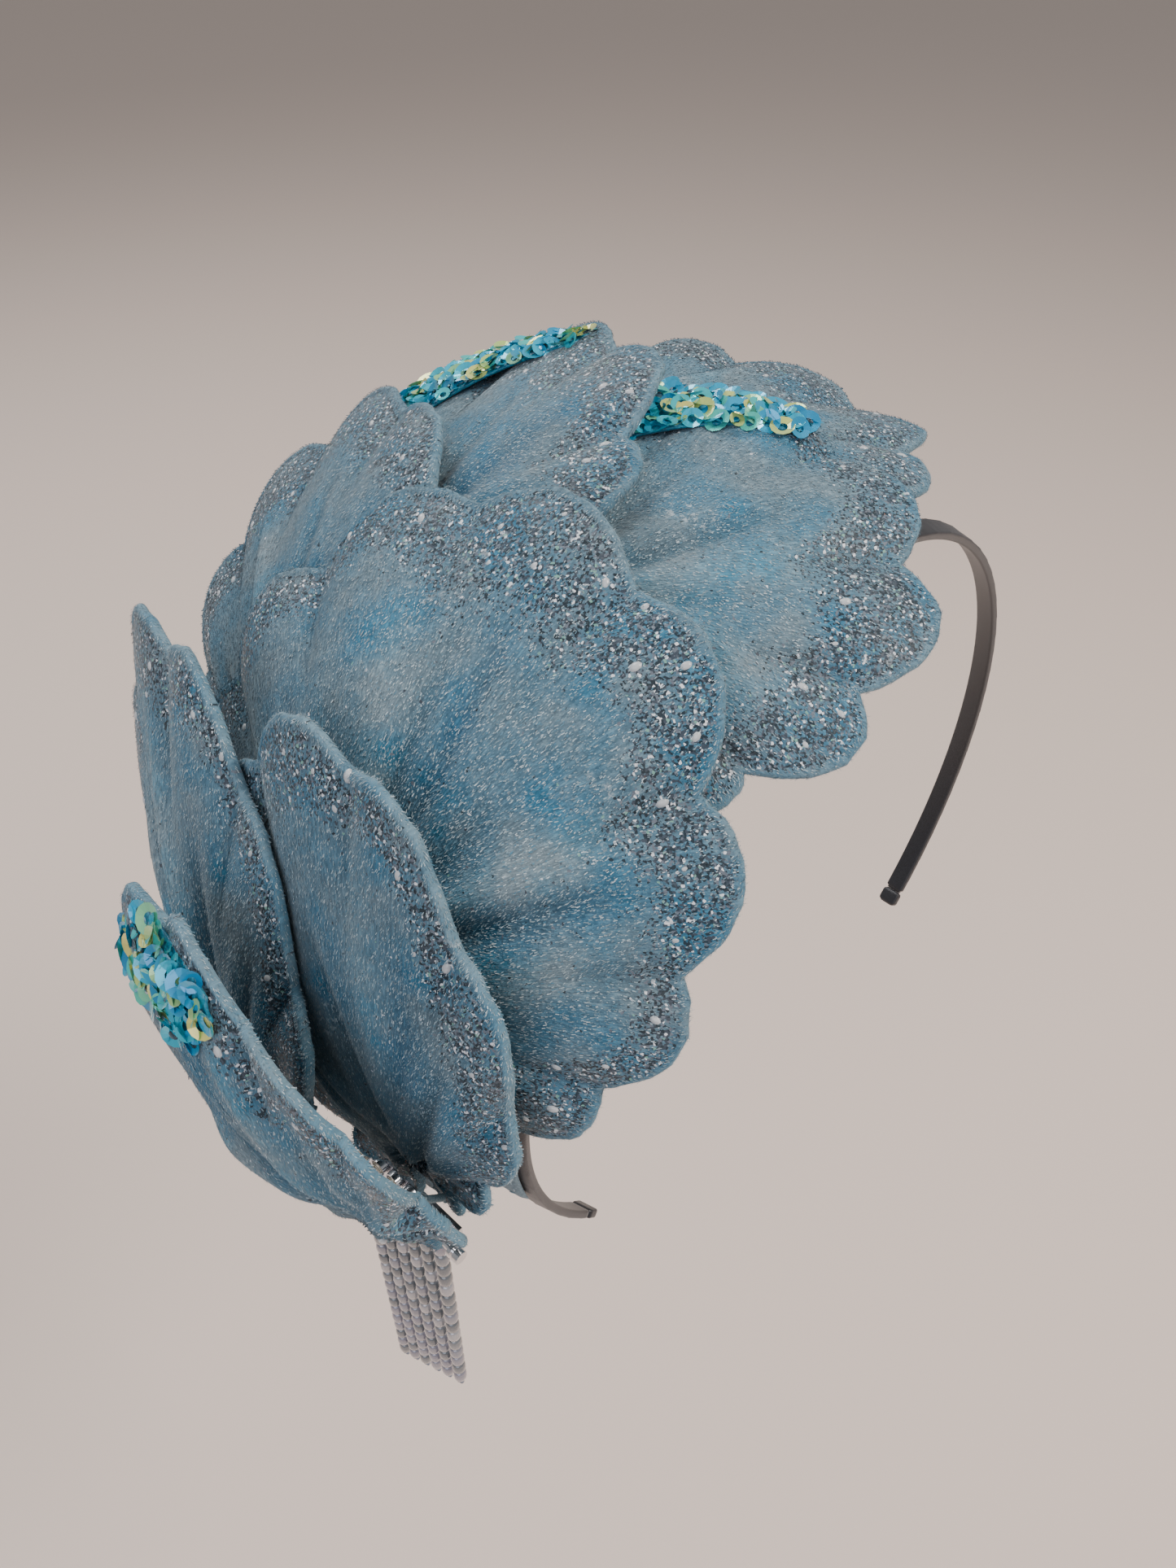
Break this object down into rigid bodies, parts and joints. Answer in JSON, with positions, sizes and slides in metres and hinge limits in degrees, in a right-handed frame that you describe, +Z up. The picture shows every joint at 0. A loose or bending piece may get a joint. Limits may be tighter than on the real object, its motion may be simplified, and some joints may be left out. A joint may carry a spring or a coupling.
{
  "type": "fascinator headpiece",
  "caption": "Side-swept headpiece: round scalloped velvet leaves overlap on a slim headband, with glitter and sequin edges and a beaded tassel that swings below the ear.",
  "frame": {"origin": "centre of the round head seat that the headband fits", "axes": "+Z up through the crown, -Y the way the wearer looks, -X the wearer's right ear, where the leaves and the tassel are"},
  "size_m": [0.2063, 0.1458, 0.2154],
  "materials": {
    "spring_steel": "satin",
    "satin": "satin",
    "felt": "matte felt",
    "velvet": "velvet pile with glitter on the margins",
    "wrapped_wire": "wrapped with floss",
    "sequins": "iridescent cup sequins",
    "crystal": "faceted",
    "silver_metal": "polished plating",
    "thread": "twisted nylon",
    "glass_bead": "silver lined"
  },
  "bodies": {
    "headpiece": {"band_spring": "spring_steel", "band_sleeve": "satin", "band_tip_right": "satin", "band_tip_left": "satin", "felt_base": "felt", "ear_pad": "felt", "leaf_side": "velvet", "leaf_side_back": "velvet", "leaf_side_tall": "velvet", "leaf_ear_front": "velvet", "leaf_ear_outer": "velvet", "leaf_crown_front": "velvet", "leaf_crown_back": "velvet", "leaf_crown_end": "velvet", "stalk_side": "wrapped_wire", "stalk_side_back": "wrapped_wire", "stalk_side_tall": "wrapped_wire", "stalk_ear_front": "wrapped_wire", "stalk_ear_outer": "wrapped_wire", "stalk_crown_front": "wrapped_wire", "stalk_crown_back": "wrapped_wire", "stalk_crown_end": "wrapped_wire", "sequins_crown": "sequins", "sequins_back": "sequins", "sequins_ear": "sequins", "tassel_plate": "silver_metal", "tassel_bar": "silver_metal", "bar_ends": "silver_metal", "crystal_cups": "silver_metal", "crystals": "crystal"},
    "strand_1": {"ring_1": "silver_metal", "thread_1": "thread", "beads_1": "glass_bead"},
    "strand_2": {"ring_2": "silver_metal", "thread_2": "thread", "beads_2": "glass_bead"},
    "strand_3": {"ring_3": "silver_metal", "thread_3": "thread", "beads_3": "glass_bead"},
    "strand_4": {"ring_4": "silver_metal", "thread_4": "thread", "beads_4": "glass_bead"},
    "strand_5": {"ring_5": "silver_metal", "thread_5": "thread", "beads_5": "glass_bead"},
    "strand_6": {"ring_6": "silver_metal", "thread_6": "thread", "beads_6": "glass_bead"}
  },
  "joints": [
    {"name": "strand_1_swing", "type": "hinge", "parent": "headpiece", "child": "strand_1", "pos_m": [-0.099, -0.01575, -0.019], "axis": [0, 1, 0], "range_deg": [-30, 60]},
    {"name": "strand_2_swing", "type": "hinge", "parent": "headpiece", "child": "strand_2", "pos_m": [-0.099, -0.01145, -0.019], "axis": [0, 1, 0], "range_deg": [-30, 60]},
    {"name": "strand_3_swing", "type": "hinge", "parent": "headpiece", "child": "strand_3", "pos_m": [-0.099, -0.00715, -0.019], "axis": [0, 1, 0], "range_deg": [-30, 60]},
    {"name": "strand_4_swing", "type": "hinge", "parent": "headpiece", "child": "strand_4", "pos_m": [-0.099, -0.00285, -0.019], "axis": [0, 1, 0], "range_deg": [-30, 60]},
    {"name": "strand_5_swing", "type": "hinge", "parent": "headpiece", "child": "strand_5", "pos_m": [-0.099, 0.00145, -0.019], "axis": [0, 1, 0], "range_deg": [-30, 60]},
    {"name": "strand_6_swing", "type": "hinge", "parent": "headpiece", "child": "strand_6", "pos_m": [-0.099, 0.00575, -0.019], "axis": [0, 1, 0], "range_deg": [-30, 60]}
  ]
}
